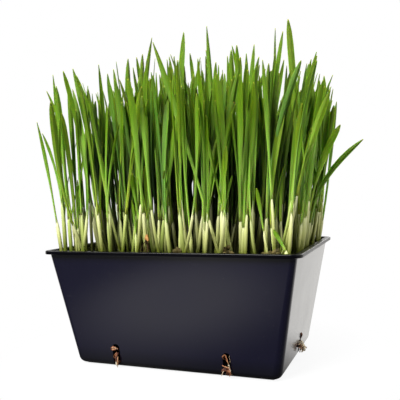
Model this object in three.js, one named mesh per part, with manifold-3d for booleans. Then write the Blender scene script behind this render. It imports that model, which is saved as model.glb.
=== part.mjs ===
// A tray of wheatgrass: a flared plastic seed tray with drain slots, its growing
// medium, the mat of sprouted grain on top, the shoots, and the roots that have
// found their way out of the slots. Millimetres, +Z up, the long side along X.
// The origin is the middle of the underside, so the tray stands on z = 0.
import * as THREE from 'three';
import { mergeVertices } from 'three/addons/utils/BufferGeometryUtils.js';
import Module from 'manifold-3d';

const wasm = await Module();
wasm.setup();

// ---- Tray ----------------------------------------------------------------
const TRAY_HEIGHT = 83.5;
const RIM_LENGTH = 180; // outer faces of the walls, level with the rim
const RIM_WIDTH = 130;
const BASE_LENGTH = 149.5; // the same faces carried down to the base
const BASE_WIDTH = 106;
const WALL = 1.4;
const FLANGE_REACH = 3; // how far the rim stands out past the wall
const FLANGE_DEPTH = 2.4;
const FLANGE_ROUND = 1.1;
const CORNER_TOP = 4; // corner radius of the walls
const CORNER_BASE = 6;
const BASE_ROUND = 4; // where the walls turn under
const FOOT_HEIGHT = 0.8;
const FOOT_INSET = 4.4;
const ARC_STEPS = 4;

// Drain slots, at the foot of the walls
const SLOT_WIDTH = 5.4;
const SLOT_TOP = 17;
const SLOTS_X = [-42, 40]; // along the front; the back ones are these turned by half a turn

// ---- Filling ---------------------------------------------------------------
const GAP = 0.3; // clearance between pieces that touch
const MEDIUM_TOP = 70.5;
const MAT_THICKNESS = 4.2;
const CROWN_TOP = 78; // where the shoots leave their matted crowns

// ---- Shoots ----------------------------------------------------------------
const CLUMPS_X = 8;
const CLUMPS_Y = 6;
const BED_LENGTH = 170; // the patch of mat that the crowns cover
const BED_WIDTH = 112;
const CROWN_GAP = 0.8;
const CROWN_THICKNESS = 2.6;
const SHOOT_HEIGHT = 136;
const HEIGHT_SPREAD = 24;
const EDGE_DROP = 16; // the outer shoots are shorter than those in the middle
const FAN_X = 0.09; // outward lean of the shoots at the end of the bed
const FAN_Y = 0.08;
const LEAN_X = 0.03; // the lean to +X that all of them share
const DROOP = 0.05; // how far the tips bend on past the lean

const COLOURS = {
  plastic: 0x24242c,
  medium: 0x3b2a1c,
  grain: 0x9a7a4a,
  root: 0xc9a878,
  husk: 0xb5713a,
  leaf: 0x6f9e38,
};

const group = new THREE.Group();

function material(colour, roughness) {
  return new THREE.MeshStandardMaterial({ color: colour, roughness, metalness: 0 });
}

function addPiece(name, geometry, surface) {
  const mesh = new THREE.Mesh(geometry, surface);
  mesh.name = name;
  group.add(mesh);
}

// ---- Joining and cutting ---------------------------------------------------
function solidOf(geometry) {
  const bare = geometry.index ? geometry.clone() : geometry;
  bare.deleteAttribute('normal');
  bare.deleteAttribute('uv');
  const merged = mergeVertices(bare, 1e-4);
  return new wasm.Manifold(new wasm.Mesh({
    numProp: 3,
    vertProperties: new Float32Array(merged.attributes.position.array),
    triVerts: new Uint32Array(merged.index.array),
  }));
}

function geometryOf(solid) {
  const mesh = solid.getMesh();
  const geometry = new THREE.BufferGeometry();
  geometry.setAttribute('position', new THREE.BufferAttribute(mesh.vertProperties, 3));
  geometry.setIndex(new THREE.BufferAttribute(mesh.triVerts, 1));
  geometry.computeVertexNormals();
  return geometry;
}

function joined(geometries) {
  const [first, ...rest] = geometries.map(solidOf);
  return geometryOf(rest.reduce((whole, piece) => whole.add(piece), first));
}

// A skin over rings of equally many points, closed by a flat cap at each end.
// The rings run anticlockwise seen from the end that the skin grows towards.
function loft(rings) {
  const count = rings[0].length;
  const positions = rings.flat().flatMap((p) => [p.x, p.y, p.z]);
  const index = [];
  for (let ring = 0; ring + 1 < rings.length; ring += 1) {
    for (let i = 0; i < count; i += 1) {
      const a = ring * count + i;
      const b = ring * count + ((i + 1) % count);
      index.push(a, b, b + count, a, b + count, a + count);
    }
  }
  const last = (rings.length - 1) * count;
  for (let i = 1; i + 1 < count; i += 1) {
    index.push(0, i + 1, i);
    index.push(last, last + i, last + i + 1);
  }
  const geometry = new THREE.BufferGeometry();
  geometry.setAttribute('position', new THREE.Float32BufferAttribute(positions, 3));
  geometry.setIndex(index);
  return geometry;
}

// One level of a rectangular form with round corners, as a ring of points.
function roundedRing(length, width, radius, z) {
  const halfX = length / 2 - radius;
  const halfY = width / 2 - radius;
  const outline = new THREE.Path();
  outline.absarc(halfX, halfY, radius, 0, Math.PI / 2);
  outline.absarc(-halfX, halfY, radius, Math.PI / 2, Math.PI);
  outline.absarc(-halfX, -halfY, radius, Math.PI, 1.5 * Math.PI);
  outline.absarc(halfX, -halfY, radius, 1.5 * Math.PI, 2 * Math.PI);
  const corners = outline.curves.filter((curve) => curve.isEllipseCurve);
  return corners.flatMap((corner) => corner.getPoints(ARC_STEPS))
    .map((p) => new THREE.Vector3(p.x, p.y, z));
}

// The tray's flared wall at a height, moved outwards by grow.
function wallRing(z, grow, level = z) {
  const t = level / TRAY_HEIGHT;
  const length = THREE.MathUtils.lerp(BASE_LENGTH, RIM_LENGTH, t) + 2 * grow;
  const width = THREE.MathUtils.lerp(BASE_WIDTH, RIM_WIDTH, t) + 2 * grow;
  const radius = THREE.MathUtils.lerp(CORNER_BASE, CORNER_TOP, t) + grow;
  return roundedRing(length, width, Math.max(radius, 0.8), z);
}

// ---- Tray: one moulding, up the outside, over the rim and down the inside ----
function trayShell() {
  const rings = [wallRing(0, -FOOT_INSET, 0), wallRing(FOOT_HEIGHT, -FOOT_INSET + 0.2, 0)];
  for (let step = 0; step <= ARC_STEPS; step += 1) {
    const turn = (step / ARC_STEPS) * (Math.PI / 2);
    const inset = BASE_ROUND * (1 - Math.sin(turn));
    const rise = BASE_ROUND * (1 - Math.cos(turn));
    rings.push(wallRing(FOOT_HEIGHT + rise, -inset));
  }
  const underRim = TRAY_HEIGHT - FLANGE_DEPTH;
  rings.push(wallRing(underRim, 0));
  rings.push(wallRing(underRim, FLANGE_REACH, TRAY_HEIGHT));
  for (let step = 0; step <= ARC_STEPS; step += 1) {
    const turn = (step / ARC_STEPS) * (Math.PI / 2);
    const inset = FLANGE_ROUND * (1 - Math.cos(turn));
    const drop = FLANGE_ROUND * (1 - Math.sin(turn));
    rings.push(wallRing(TRAY_HEIGHT - drop, FLANGE_REACH - inset, TRAY_HEIGHT));
  }
  rings.push(wallRing(TRAY_HEIGHT, -WALL + 0.4));
  rings.push(wallRing(TRAY_HEIGHT - 0.6, -WALL));
  rings.push(wallRing(BASE_ROUND + FOOT_HEIGHT, -WALL));
  rings.push(wallRing(FOOT_HEIGHT + WALL, -BASE_ROUND - 0.4));
  return loft(rings);
}

// A slot's cutter: a slender outline with a round top, pushed through a wall.
function slotCutter(x, y, turn) {
  const half = SLOT_WIDTH / 2;
  const outline = new THREE.Shape();
  outline.moveTo(-half, 2.4);
  outline.lineTo(half, 2.4);
  outline.lineTo(half, SLOT_TOP - half);
  outline.absarc(0, SLOT_TOP - half, half, 0, Math.PI);
  const depth = 16;
  const cutter = new THREE.ExtrudeGeometry(outline, { depth, bevelEnabled: false, curveSegments: 8 });
  cutter.translate(0, 0, -depth / 2);
  cutter.rotateX(Math.PI / 2);
  cutter.rotateZ(turn);
  cutter.translate(x, y, 0);
  return cutter;
}

// Where each slot is, which way it faces, and the name of its tuft of roots
const slots = [
  { name: 'front_left', x: SLOTS_X[0], y: -BASE_WIDTH / 2, turn: 0 },
  { name: 'front_right', x: SLOTS_X[1], y: -BASE_WIDTH / 2, turn: 0 },
  { name: 'right_end', x: BASE_LENGTH / 2, y: 5, turn: Math.PI / 2 },
  { name: 'back_right', x: -SLOTS_X[0], y: BASE_WIDTH / 2, turn: Math.PI },
  { name: 'back_left', x: -SLOTS_X[1], y: BASE_WIDTH / 2, turn: Math.PI },
  { name: 'left_end', x: -BASE_LENGTH / 2, y: -5, turn: -Math.PI / 2 },
];

const shell = slots.reduce(
  (solid, slot) => solid.subtract(solidOf(slotCutter(slot.x, slot.y, slot.turn))),
  solidOf(trayShell()),
);
addPiece('seed_tray', geometryOf(shell), material(COLOURS.plastic, 0.45));

// ---- Growing medium: a block of coir and soil that fills the tray ------------
const medium = loft([
  wallRing(FOOT_HEIGHT + WALL + GAP, -BASE_ROUND - 1.2),
  wallRing(BASE_ROUND + FOOT_HEIGHT + 1, -WALL - GAP - 0.4),
  wallRing(MEDIUM_TOP - 3, -WALL - GAP),
  wallRing(MEDIUM_TOP, -WALL - GAP - 2.5),
]);
addPiece('growing_medium', medium, material(COLOURS.medium, 0.95));

// ---- Mat of sprouted grain lying on the medium -------------------------------
const matBottom = MEDIUM_TOP + GAP;
const grainMat = loft([
  wallRing(matBottom, -WALL - GAP - 2.5),
  wallRing(matBottom + 1.6, -WALL - GAP - 0.4),
  wallRing(matBottom + MAT_THICKNESS - 1.2, -WALL - GAP - 0.6),
  wallRing(matBottom + MAT_THICKNESS, -WALL - GAP - 3.2),
]);
addPiece('grain_mat', grainMat, material(COLOURS.grain, 0.9));

// ---- Shoots ------------------------------------------------------------------
// A repeatable number from 0 to 1 for each pair of whole numbers.
function scatter(a, b) {
  const wave = Math.sin(a * 127.1 + b * 311.7) * 43758.5453;
  return wave - Math.floor(wave);
}

// A shoot: a three-sided blade with a keel, round and stout at the root,
// broadest above the middle and drawn out to a point. Its centre line leaves
// the crown along lean and bends on by droop.
function shoot(root, lean, droop, height, facing) {
  const stations = [
    { t: 0, wide: 1.5, deep: 1.3 },
    { t: 0.27, wide: 1.6, deep: 1.2 },
    { t: 0.55, wide: 2.5, deep: 0.8 },
    { t: 0.82, wide: 1.9, deep: 0.6 },
    { t: 1, wide: 0.25, deep: 0.2 },
  ];
  return loft(stations.map(({ t, wide, deep }) => {
    const centre = new THREE.Vector3(
      root.x + height * (lean.x * t + droop.x * t * t * t),
      root.y + height * (lean.y * t + droop.y * t * t * t),
      root.z + height * t,
    );
    const ring = [
      new THREE.Vector3(wide, deep * 0.5, 0),
      new THREE.Vector3(-wide, deep * 0.5, 0),
      new THREE.Vector3(0, -deep, 0),
    ];
    return ring.map((p) => p.applyAxisAngle(new THREE.Vector3(0, 0, 1), facing).add(centre));
  }));
}

// A few blades stand out from the rest: they lean or droop well past the
// tray's edge, or reach above it. Each is given by its clump and its place there.
const standouts = {
  '0_0_0': { lean: [-0.19, -0.03], droop: [-0.04, -0.01], height: 102 },
  '0_1_0': { lean: [-0.07, -0.03], droop: [-0.03, 0], height: 132 },
  '7_0_1': { lean: [0.22, -0.05], droop: [0.06, 0], height: 106 },
  '7_2_1': { lean: [0.06, 0], droop: [0.45, 0.02], height: 80 },
  '7_2_4': { lean: [0.04, -0.02], droop: [0, 0], height: 162 },
  '6_1_4': { lean: [0.09, -0.03], droop: [0.01, 0], height: 157 },
  '4_2_4': { lean: [0.02, -0.01], droop: [0, 0], height: 165 },
  '3_2_4': { lean: [0.05, 0], droop: [0.01, 0], height: 163 },
};

const cellX = BED_LENGTH / CLUMPS_X;
const cellY = BED_WIDTH / CLUMPS_Y;
const places = [[-0.27, -0.27], [0.27, -0.27], [0.27, 0.27], [-0.27, 0.27], [0, 0]];

// A clump: the shoots of neighbouring grains, joined by their matted crown.
function clump(column, row) {
  const x = (column + 0.5 - CLUMPS_X / 2) * cellX;
  const y = (row + 0.5 - CLUMPS_Y / 2) * cellY;
  const seed = column * CLUMPS_Y + row;
  const crown = new THREE.BoxGeometry(cellX - CROWN_GAP, cellY - CROWN_GAP, CROWN_THICKNESS);
  crown.translate(x, y, CROWN_TOP - CROWN_THICKNESS / 2);
  const shoots = places.map(([u, v], i) => {
    const jitter = (k) => scatter(seed * 5 + i, k) - 0.5;
    const root = new THREE.Vector3(x + u * cellX + jitter(1), y + v * cellY + jitter(2), CROWN_TOP - 1);
    const across = root.x / (BED_LENGTH / 2);
    const along = root.y / (BED_WIDTH / 2);
    const own = standouts[`${column}_${row}_${i}`];
    if (own) {
      return shoot(root, new THREE.Vector2(...own.lean), new THREE.Vector2(...own.droop),
        own.height, jitter(3) * 2);
    }
    const lean = new THREE.Vector2(
      FAN_X * across + LEAN_X + 0.02 * jitter(4),
      FAN_Y * along + 0.02 * jitter(5),
    );
    const droop = new THREE.Vector2(DROOP * across * across * across, DROOP * along * along * along);
    const height = SHOOT_HEIGHT + HEIGHT_SPREAD * jitter(6)
      - EDGE_DROP * Math.max(across * across, along * along);
    return shoot(root, lean, droop, height, jitter(3) * 3);
  });
  return joined([crown, ...shoots]);
}

const leaf = material(COLOURS.leaf, 0.55);
for (let column = 0; column < CLUMPS_X; column += 1) {
  for (let row = 0; row < CLUMPS_Y; row += 1) {
    addPiece(`shoots_${column + 1}_${row + 1}`, clump(column, row), leaf);
  }
}

// ---- Roots that hang out of the drain slots ------------------------------------
// A strand is a thin six-sided rod along a smooth curve through points given as
// out from the wall, along the wall and up.
const STRAND_STEPS = 6;

function strand(points, radius) {
  const route = new THREE.CatmullRomCurve3(points.map(([out, along, up]) => (
    new THREE.Vector3(along, -out, up))));
  const section = new THREE.Shape();
  section.absarc(0, 0, radius, 0, 2 * Math.PI);
  return new THREE.ExtrudeGeometry(section, {
    steps: STRAND_STEPS,
    extrudePath: route,
    curveSegments: 3,
    bevelEnabled: false,
  });
}

// A tuft: a knot of root ends just inside the slot and the strands that leave it.
function tuft(slot, strands) {
  const knot = new THREE.IcosahedronGeometry(1.9, 0);
  knot.scale(0.9, 0.7, 1.7);
  knot.translate(0, -1.7, 8);
  const whole = joined([knot, ...strands.map(({ points, radius }) => strand(points, radius))]);
  whole.rotateZ(slot.turn);
  whole.translate(slot.x, slot.y, 0);
  return whole;
}

// Out is measured from the wall's outer face at the base.
const looped = [
  {
    points: [[1.6, 0, 9.4], [2.6, -1.2, 12.4], [3.9, -1.5, 15.4], [4.1, -0.1, 15.9], [3.6, 0.6, 12.8]],
    radius: 0.7,
  },
  { points: [[1.6, 0.3, 9], [3, 0.6, 7.4], [3, 0.7, 4], [2.2, 0.5, 1.3]], radius: 0.9 },
  { points: [[1.6, -0.3, 9], [2.8, -0.4, 6.6], [2.7, -0.4, 3.4], [1.9, -0.1, 1]], radius: 0.7 },
];
const crossing = [
  { points: [[1.6, -0.3, 9.6], [2.8, -1.3, 13], [4, -0.3, 14], [3.6, 1.6, 9]], radius: 0.5 },
  { points: [[1.6, -0.6, 7.6], [2.7, -1.2, 6], [2.6, -0.6, 3.4], [2, 0.8, 1.4]], radius: 0.7 },
  { points: [[1.6, 0.6, 7.6], [2.8, 1.2, 5.8], [2.7, 1.7, 3.2], [1.9, 1.3, 1.1]], radius: 0.7 },
];
const tasselled = [
  { points: [[1.6, 0, 9.4], [3.1, 0.1, 12], [4, 0.2, 11], [4.2, 0, 7.6]], radius: 0.6 },
  { points: [[1.6, -0.3, 8.4], [3.4, -1.4, 8.2], [4.6, -2.6, 7.6], [5.2, -4, 7.4]], radius: 0.5 },
  { points: [[1.6, 0.3, 8], [3.6, 0.9, 7.4], [5.2, 1.6, 6.4], [6.6, 2.2, 5.6]], radius: 0.6 },
];
const tuftOf = {
  front_left: looped,
  front_right: crossing,
  right_end: tasselled,
  back_right: tasselled,
  back_left: crossing,
  left_end: looped,
};
const root = material(COLOURS.root, 0.8);
for (const slot of slots) {
  addPiece(`roots_${slot.name}`, tuft(slot, tuftOf[slot.name]), root);
}

// ---- A grain that its own roots have lifted clear of the mat ---------------------
const LIFT = 18.5; // from the mat to the middle of the husk

function liftedGrain(x, y) {
  const husk = new THREE.IcosahedronGeometry(1, 1);
  husk.scale(1.4, 1.2, 2.3);
  husk.rotateY(0.5);
  husk.translate(0, 0, LIFT);
  const legs = [-1.1, 0, 1].map((spread, i) => strand([
    [0.2 * i, 0.3 * spread, LIFT - 1.2],
    [0.6, 1.4 * spread, LIFT * 0.55],
    [0.2 * spread, 1.3 * spread, 0.2],
  ], 0.35));
  const foot = new THREE.CylinderGeometry(1.9, 2.2, 0.8, 8);
  foot.rotateX(Math.PI / 2);
  foot.translate(0, 0, 0.4);
  const whole = joined([husk, foot, ...legs]);
  whole.translate(x, y, matBottom + MAT_THICKNESS + GAP);
  return whole;
}
addPiece('lifted_grain', liftedGrain(-13.5, -BED_WIDTH / 2 - 3.2), material(COLOURS.husk, 0.7));

export default group;
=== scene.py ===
"""A tray of wheatgrass: the seed tray, its growing medium, the mat of sprouted
grain, the shoots, and the roots at the drain slots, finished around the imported
CAD frame. Metres, +Z up, the tray's long side along X, its front at -Y."""

import bpy
import math
import numpy as np
from mathutils import Matrix, Vector
from types import SimpleNamespace


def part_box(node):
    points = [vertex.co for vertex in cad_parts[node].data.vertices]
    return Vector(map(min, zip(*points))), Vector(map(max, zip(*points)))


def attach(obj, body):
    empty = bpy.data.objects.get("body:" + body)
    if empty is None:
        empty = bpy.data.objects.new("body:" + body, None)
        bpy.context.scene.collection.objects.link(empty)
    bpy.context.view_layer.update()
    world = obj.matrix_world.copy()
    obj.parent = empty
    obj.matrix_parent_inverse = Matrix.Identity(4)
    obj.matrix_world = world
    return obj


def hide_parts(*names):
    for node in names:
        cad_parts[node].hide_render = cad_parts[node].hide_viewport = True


MM = 0.001
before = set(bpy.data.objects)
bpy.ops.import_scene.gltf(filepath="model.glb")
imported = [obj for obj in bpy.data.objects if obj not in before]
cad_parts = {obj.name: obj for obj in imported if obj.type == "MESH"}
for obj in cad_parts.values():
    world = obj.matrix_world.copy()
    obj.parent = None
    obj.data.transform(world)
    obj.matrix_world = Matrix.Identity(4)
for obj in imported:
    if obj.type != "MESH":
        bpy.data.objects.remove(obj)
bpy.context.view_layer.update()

# ---- Seed tray -----------------------------------------------
# One thin moulding in black polypropylene: flared walls, a narrow flange with a
# rounded lip, a rounded base edge over a set-in foot, and a drain slot cut
# through the foot of the wall in six places.
TRAY_HEIGHT = 83.5 * MM
RIM_SIZE = np.array([180.0, 130.0]) * MM
BASE_SIZE = np.array([149.5, 106.0]) * MM
CORNER_TOP, CORNER_BASE, CORNER_LEAST = 4 * MM, 6 * MM, 0.8 * MM
WALL = 1.4 * MM
FLANGE_REACH, FLANGE_DEPTH, FLANGE_ROUND = 3 * MM, 2.4 * MM, 0.6 * MM
BASE_ROUND, FOOT_HEIGHT, FOOT_INSET = 4 * MM, 0.8 * MM, 4.4 * MM
SLOT_WIDTH, SLOT_LOW, SLOT_TOP = 5.4 * MM, 2.4 * MM, 17 * MM
SLOTS_X = np.array([-42, 40]) * MM  # along the front; the back ones, turned half round
CUT_REACH = 8 * MM  # how far to each side of the wall's foot the slots are cut
# Over the flange the finish turns duller, and its colour is painted blacker as shade
RIM_DULL_AND_SHADED = (80.5 * MM, 81.3 * MM)  # between these heights the finish turns to the rim's
# Painted shade: from this height down the wall's colour darkens to near black, for the shadow under the
# rounded base
PAINTED_FOOT_SHADE = 14 * MM  # the wall gets darker from here down


def wall_ring(z, grow, level=None, arc=8, side=1):
    """The tray's outline at a height, moved out by grow: a rectangle whose sides
    run straight between quarter circles, its size linear in the height."""
    t = (z if level is None else level) / TRAY_HEIGHT
    half = (BASE_SIZE + (RIM_SIZE - BASE_SIZE) * t) / 2 + grow
    radius = max(CORNER_BASE + (CORNER_TOP - CORNER_BASE) * t + grow, CORNER_LEAST)
    sweep = np.linspace(0, np.pi / 2, arc + 1)
    corners = []
    for quarter, (sx, sy) in enumerate([(1, 1), (-1, 1), (-1, -1), (1, -1)]):
        angle = sweep + quarter * np.pi / 2
        corners.append(np.stack([sx * (half[0] - radius) + radius * np.cos(angle),
                                 sy * (half[1] - radius) + radius * np.sin(angle)], axis=1))
    sides = []
    for here, there in zip(corners, corners[1:] + corners[:1]):
        step = np.linspace(0, 1, side + 2)[1:-1, None]
        sides.append(np.concatenate([here, here[-1] + (there[0] - here[-1]) * step]))
    ring = np.concatenate(sides)
    return np.column_stack([ring, np.full(len(ring), z)])


def tube_faces(count, stations, around, first=0):
    """Faces of count closed tubes, each a stack of stations rings with around
    points: the walls as quads, and one flat face over each end."""
    tube = first + np.arange(count)[:, None, None] * (stations * around)
    here = tube + np.arange((stations - 1) * around).reshape(1, stations - 1, around)
    right = np.roll(here, -1, axis=2)
    quads = np.stack([here, right, right + around, here + around], axis=-1).reshape(-1, 4)
    ends = tube[:, :, 0] + np.arange(around)[::-1]
    tops = tube[:, :, 0] + (stations - 1) * around + np.arange(around)
    return quads, np.concatenate([ends, tops])


def fill_mesh(name, points, blocks, corner_uv=None, smooth=True):
    """A mesh from an array of points and blocks of faces, each block an array
    with one row of corner numbers for each face."""
    mesh = bpy.data.meshes.new(name)
    corners = np.concatenate([block.ravel() for block in blocks])
    sizes = np.concatenate([np.full(len(block), block.shape[1]) for block in blocks])
    mesh.vertices.add(len(points))
    mesh.vertices.foreach_set("co", np.asarray(points, np.float32).ravel())
    mesh.loops.add(len(corners))
    mesh.loops.foreach_set("vertex_index", corners.astype(np.int32))
    mesh.polygons.add(len(sizes))
    starts = np.concatenate([[0], np.cumsum(sizes)[:-1]]).astype(np.int32)
    mesh.polygons.foreach_set("loop_start", starts)
    mesh.update(calc_edges=True)
    mesh.polygons.foreach_set("use_smooth", np.full(len(sizes), smooth))
    if corner_uv is not None:
        layer = mesh.uv_layers.new(name="length_and_width")
        layer.data.foreach_set("uv", np.asarray(corner_uv, np.float32).ravel())
    mesh.validate()
    return mesh


def closed_mesh(name, *groups):
    """One mesh of closed tubes. Each group is an array of tubes, each tube a stack
    of rings, each ring a row of points."""
    points, faces = [], []
    for group in groups:
        faces += tube_faces(*group.shape[:3], first=sum(map(len, points)))
        points.append(group.reshape(-1, 3))
    return fill_mesh(name, np.concatenate(points), faces)


def add_object(name, data):
    """A new object in the scene."""
    made = bpy.data.objects.new(name, data)
    bpy.context.scene.collection.objects.link(made)
    return made


def add_piece(name, mesh, material, *nodes):
    """Puts a finished mesh in the scene as a piece that stands for CAD nodes."""
    piece = add_object(name, mesh)
    mesh.materials.clear()
    mesh.materials.append(material)
    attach(piece, "root")
    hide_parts(*nodes)


def tray_rings():
    """Up the outside, over the lip and down the inside to the floor: quarter
    circles of BASE_ROUND and FLANGE_ROUND joined by straight walls. Each row is a
    height, how far out of the plain wall, and, if not its own, the height whose
    outline it follows. Steps under a millimetre soften an edge."""
    top, under, inside = TRAY_HEIGHT, TRAY_HEIGHT - FLANGE_DEPTH, FOOT_HEIGHT + WALL
    quarter = [(1 - math.cos(a), 1 - math.sin(a)) for a in np.linspace(0, np.pi / 2, 9)]
    foot = [(0, -FOOT_INSET - 0.3 * MM, 0), (0.3 * MM, -FOOT_INSET, 0),
            (FOOT_HEIGHT, -FOOT_INSET + 0.2 * MM, 0)]
    edge = [(FOOT_HEIGHT + BASE_ROUND * rise, -BASE_ROUND * back) for rise, back in quarter]
    flange = [(under - 0.5 * MM, 0), (under - 0.15 * MM, 0.15 * MM, top), (under, 0.5 * MM, top),
              (under, FLANGE_REACH - 0.25 * MM, top), (under + 0.25 * MM, FLANGE_REACH, top)]
    lip = [(top - FLANGE_ROUND * drop, FLANGE_REACH - FLANGE_ROUND * back, top)
           for back, drop in quarter]
    within = [(top, -WALL + 0.6 * MM), (top - 0.2 * MM, -WALL + 0.15 * MM), (top - 0.7 * MM, -WALL),
              (BASE_ROUND + FOOT_HEIGHT, -WALL), (inside + 0.6 * MM, -WALL - 1.6 * MM, BASE_ROUND),
              (inside, -BASE_ROUND - 0.4 * MM)]
    return np.array([wall_ring(*row) for row in foot + edge + flange + lip + within])


# Where each slot is at the base, and how far round from facing -Y it is turned
SLOTS = {
    "front_left": ((SLOTS_X[0], -BASE_SIZE[1] / 2), 0.0),
    "front_right": ((SLOTS_X[1], -BASE_SIZE[1] / 2), 0.0),
    "right_end": ((BASE_SIZE[0] / 2, 5 * MM), math.pi / 2),
    "back_right": ((-SLOTS_X[0], BASE_SIZE[1] / 2), math.pi),
    "back_left": ((-SLOTS_X[1], BASE_SIZE[1] / 2), math.pi),
    "left_end": ((-BASE_SIZE[0] / 2, -5 * MM), -math.pi / 2),
}


def at_slot(points, slot):
    """Turns points given as along the wall, out (as -Y) and up to a slot's place."""
    (x, y), turn = SLOTS[slot]
    c, s = math.cos(turn), math.sin(turn)
    px, py = points[..., 0], points[..., 1]
    return np.stack([x + c * px - s * py, y + s * px + c * py, points[..., 2]], axis=-1)


def slot_cutter():
    """All six slots as one mesh: a slender outline with a semicircle on top,
    pushed through the wall."""
    half = SLOT_WIDTH / 2
    angle = np.linspace(0, np.pi, 15)
    arch = np.stack([half * np.cos(angle), SLOT_TOP - half + half * np.sin(angle)], axis=1)
    outline = np.concatenate([[[-half, SLOT_LOW], [half, SLOT_LOW]], arch])
    count = len(outline)
    points, blocks = [], []
    for number, slot in enumerate(SLOTS):
        for out in (-CUT_REACH, CUT_REACH):
            points.append(at_slot(np.insert(outline, 1, out, axis=1), slot))
        a = np.arange(count) + 2 * number * count
        b = np.roll(a, -1)
        blocks += [np.stack([a, a + count, b + count, b], axis=1), a[None], a[None, ::-1] + count]
    return fill_mesh("slot_cutter", np.concatenate(points), blocks, smooth=False)


def modified(mesh, *modifiers):
    """The mesh after these modifiers, given as (type, {setting: value})."""
    carrier = add_object("carrier", mesh)
    for kind, settings in modifiers:
        modifier = carrier.modifiers.new(kind.lower(), kind)
        for key, value in settings.items():
            setattr(modifier, key, value)
    graph = bpy.context.evaluated_depsgraph_get()
    result = bpy.data.meshes.new_from_object(carrier.evaluated_get(graph))
    bpy.data.objects.remove(carrier)
    return result


def new_material(name, **inputs):
    """A material with one Principled shader and these inputs: it, its node tree
    and the shader."""
    material = bpy.data.materials.new(name)
    material.use_nodes = True
    shader = material.node_tree.nodes["Principled BSDF"]
    for key, value in inputs.items():
        shader.inputs[key.replace("_", " ")].default_value = value
    return material, material.node_tree, shader


def link(tree, source, target):
    """Leads a shader output to an input."""
    tree.links.new(source, target)


def node(tree, kind, inputs=(), **settings):
    """A shader node with its settings and its inputs' values or sources."""
    made = tree.nodes.new("ShaderNode" + kind)
    for key, value in settings.items():
        setattr(made, key, value)
    for key, value in dict(inputs).items():
        if isinstance(value, bpy.types.NodeSocket):
            link(tree, value, made.inputs[key])
        else:
            made.inputs[key].default_value = value
    return made


def where(tree):
    """Object coordinates."""
    return node(tree, "TexCoord").outputs["Object"]


def part(tree, source, axis):
    """The X, Y or Z of a source."""
    return node(tree, "SeparateXYZ", {"Vector": source}).outputs[axis]


def grain(tree, scale, stretch=(1, 1, 1), detail=4.0, rough=0.6):
    """A noise over Object coordinates, its cells one over scale wide in metres."""
    placed = node(tree, "Mapping", {"Vector": where(tree), "Scale": stretch})
    made = node(tree, "TexNoise", {"Vector": placed.outputs[0], "Scale": scale,
                                   "Detail": detail, "Roughness": rough})
    return made.outputs["Fac"]


def ramp(tree, value, stops):
    """A colour ramp through (position, colour) stops."""
    made = node(tree, "ValToRGB", {"Fac": value})
    band = made.color_ramp
    for _ in stops[2:]:
        band.elements.new(0.5)
    for element, (position, colour) in zip(band.elements, stops):
        element.position = position
        element.color = (*colour, 1)
    return made.outputs["Color"]


def mixed(tree, share, first, second, blend="MIX"):
    """Two colours mixed; share, first and second may be values or sources."""
    made = node(tree, "Mix", data_type="RGBA", blend_type=blend)
    for index, value in ((0, share), (6, first), (7, second)):
        if isinstance(value, bpy.types.NodeSocket):
            link(tree, value, made.inputs[index])
        elif index:
            made.inputs[index].default_value = (*value, 1)
        else:
            made.inputs[index].default_value = value
    return made.outputs[2]


def remap(tree, value, low, high, to_low=0.0, to_high=1.0, way="LINEAR"):
    """A value stretched from low..high to to_low..to_high and held there."""
    limits = {"From Min": low, "From Max": high, "To Min": to_low, "To Max": to_high}
    made = node(tree, "MapRange", {"Value": value, **limits}, interpolation_type=way)
    return made.outputs["Result"]


def reckon(tree, operation, first, second=0.0):
    """One step of arithmetic on values or sources."""
    return node(tree, "Math", {0: first, 1: second}, operation=operation).outputs[0]


def finished(material, colour, height, strength, distance):
    """The material with its colour, and with bump from a height whose full depth
    is distance in metres."""
    tree = material.node_tree
    shader = tree.nodes["Principled BSDF"]
    bump = node(tree, "Bump", {"Height": height, "Strength": strength, "Distance": distance})
    link(tree, bump.outputs["Normal"], shader.inputs["Normal"])
    link(tree, colour, shader.inputs["Base Color"])
    return material


def black_plastic():
    """Satin black plastic: a faint pebble in the skin, rubbed patches, and short
    pale scuffs that run along the wall. The rim is duller than the wall, and its
    colour is painted blacker there as shade. Towards the foot the colour is
    painted darker, to nearly black, as the shade under the base."""
    material, tree, shader = new_material("black_plastic", IOR=1.5, Coat_Roughness=0.12)
    clouds = grain(tree, 28, detail=3)
    scuff = remap(tree, grain(tree, 160, (0.35, 0.35, 2.2), 6, 0.7), 0.66, 0.74, 0, 0.25)
    dust = remap(tree, grain(tree, 900, detail=2), 0.72, 0.8, 0, 0.3)
    colour = mixed(tree, clouds, (0.0028, 0.0025, 0.0115), (0.0042, 0.0038, 0.016))
    colour = mixed(tree, scuff, colour, (0.075, 0.07, 0.085))
    colour = mixed(tree, dust, colour, (0.12, 0.11, 0.10))
    height = part(tree, where(tree), "Z")
    rim = remap(tree, height, *RIM_DULL_AND_SHADED)
    # painted shade: the colour darkens to near black towards the foot
    colour = mixed(tree, remap(tree, height, 0, PAINTED_FOOT_SHADE), (0.0004, 0.0004, 0.0008), colour)
    # painted shade: over the flange the colour turns blacker than the wall's
    colour = mixed(tree, rim, colour, (0.0006, 0.0005, 0.0018))
    rubbed = remap(tree, clouds, 0.3, 0.7, 0.15, 0.22)
    rougher = remap(tree, rim, 0, 1, 0, 0.12)
    link(tree, reckon(tree, "ADD", rubbed, rougher), shader.inputs["Roughness"])
    link(tree, remap(tree, rim, 0, 1, 0.5, 0), shader.inputs["Coat Weight"])
    link(tree, remap(tree, rim, 0, 1, 0.5, 0.2), shader.inputs["Specular IOR Level"])
    return finished(material, colour, grain(tree, 1500, detail=3), 0.10, 0.2 * MM)


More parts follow.
